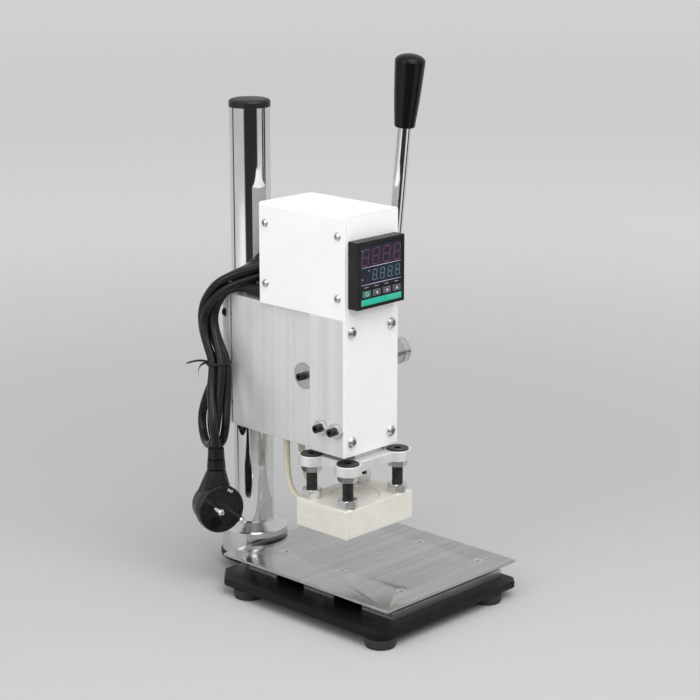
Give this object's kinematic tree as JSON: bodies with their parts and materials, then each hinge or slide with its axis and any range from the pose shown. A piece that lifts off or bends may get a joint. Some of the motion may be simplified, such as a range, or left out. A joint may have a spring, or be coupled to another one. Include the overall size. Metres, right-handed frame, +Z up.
{
  "type": "manual lever hot-foil press",
  "caption": "Bench lever press: a rack-driven ram carries a heated block down onto a sliding plate; a temperature controller sits in the box above, on a round column.",
  "frame": {"origin": "on the bench, in the middle of the footprint", "axes": "+Z up along the column, -Y towards the operator, +X to the operator's right, where the lever is"},
  "size_m": [0.1624, 0.2211, 0.3929],
  "materials": {
    "casting": "satin black paint",
    "rubber": "matt",
    "zinc": "bright zinc",
    "black_steel": "black oxide",
    "spring_steel": "drawn",
    "ground_steel": "ground",
    "collar_metal": "turned",
    "rail_metal": "extruded",
    "plate_metal": "brushed",
    "arm_metal": "extruded, anodised",
    "hub_metal": "turned",
    "chrome": "polished",
    "brass": "satin",
    "white_plate": "semi-gloss",
    "white_box": "powder coat",
    "black_plastic": "satin",
    "grip_plastic": "gloss",
    "cord_plastic": "gloss",
    "window": "clear over dark",
    "green_key": "satin",
    "grey_key": "satin",
    "board": "lacquered",
    "cream_plastic": "matt",
    "block_metal": "matt, machined",
    "lead_sleeve": "braided"
  },
  "bodies": {
    "base": {"base_casting": "casting", "rubber_feet": "rubber", "foot_screws": "zinc", "column_collar": "collar_metal", "collar_screw": "black_steel", "rail_channels": "rail_metal", "rail_screws": "zinc"},
    "table": {"work_plate": "plate_metal", "table_sliders": "rail_metal", "table_screws": "zinc"},
    "column": {"column_tube": "chrome", "column_cap": "black_plastic"},
    "head": {"arm_body": "arm_metal", "ram_housing": "arm_metal", "housing_bolts": "black_steel", "rear_clamp": "arm_metal", "clamp_bolts": "black_steel", "front_plate": "white_plate", "front_plate_screws": "zinc", "gib_plate": "brass", "gib_screws": "black_steel", "gib_nuts": "zinc", "bearing_sleeve": "arm_metal", "box_chassis": "white_box", "box_cover": "white_box", "box_screws": "zinc", "controller_case": "black_plastic", "controller_board": "board", "controller_bezel": "black_plastic", "display_window": "window", "controller_bracket": "black_plastic", "terminal_block": "cream_plastic", "cable_gland": "black_plastic", "mains_cord": "cord_plastic", "cord_wrap": "cord_plastic", "cord_hank": "cord_plastic", "cord_tie": "black_plastic", "plug_body": "cord_plastic", "plug_pins": "chrome", "return_spring": "spring_steel", "spring_pin": "spring_steel", "heater_leads": "lead_sleeve"},
    "set_button": {"key_set": "green_key"},
    "shift_button": {"key_shift": "grey_key"},
    "down_button": {"key_down": "grey_key"},
    "up_button": {"key_up": "grey_key"},
    "lever": {"pinion_shaft": "ground_steel", "hub_cap": "hub_metal", "lever_rod": "chrome", "lever_grip": "grip_plastic", "shaft_screw": "black_steel"},
    "ram": {"ram": "ground_steel", "ram_bolts": "black_steel", "carrier_plate": "arm_metal", "carrier_screws": "black_steel", "upper_nuts": "zinc", "lower_nuts": "zinc", "heater_block": "block_metal", "heater_cartridges": "spring_steel", "thermocouple": "spring_steel"}
  },
  "joints": [
    {"name": "table_slide", "type": "slide", "parent": "base", "child": "table", "axis": [1, 0, 0], "range_m": [-0.04, 0.04]},
    {"name": "column_swivel", "type": "hinge", "parent": "base", "child": "column", "pos_m": [-0.014, 0.082, 0], "axis": [0, 0, 1], "range_deg": [-90, 90]},
    {"name": "head_height", "type": "slide", "parent": "column", "child": "head", "axis": [0, 0, 1], "range_m": [-0.006, 0.11]},
    {"name": "lever_turn", "type": "hinge", "parent": "head", "child": "lever", "pos_m": [0.048, 0.004, 0.168], "axis": [1, 0, 0], "range_deg": [0, 120]},
    {"name": "ram_slide", "type": "slide", "parent": "head", "child": "ram", "axis": [0, 0, -1], "range_m": [0, 0.02515], "stiffness_N_per_m": 500, "springref_m": -0.04, "deforming": ["return_spring", "heater_leads"]},
    {"name": "set_press", "type": "slide", "parent": "head", "child": "set_button", "axis": [0, 1, 0], "range_m": [0, 0.0004], "stiffness_N_per_m": 1500, "springref_m": -0.0004},
    {"name": "shift_press", "type": "slide", "parent": "head", "child": "shift_button", "axis": [0, 1, 0], "range_m": [0, 0.0004], "stiffness_N_per_m": 1500, "springref_m": -0.0004},
    {"name": "down_press", "type": "slide", "parent": "head", "child": "down_button", "axis": [0, 1, 0], "range_m": [0, 0.0004], "stiffness_N_per_m": 1500, "springref_m": -0.0004},
    {"name": "up_press", "type": "slide", "parent": "head", "child": "up_button", "axis": [0, 1, 0], "range_m": [0, 0.0004], "stiffness_N_per_m": 1500, "springref_m": -0.0004}
  ],
  "couplings": [
    {"joint": "ram_slide", "follows": "lever_turn", "m_per_rad": 0.012}
  ]
}
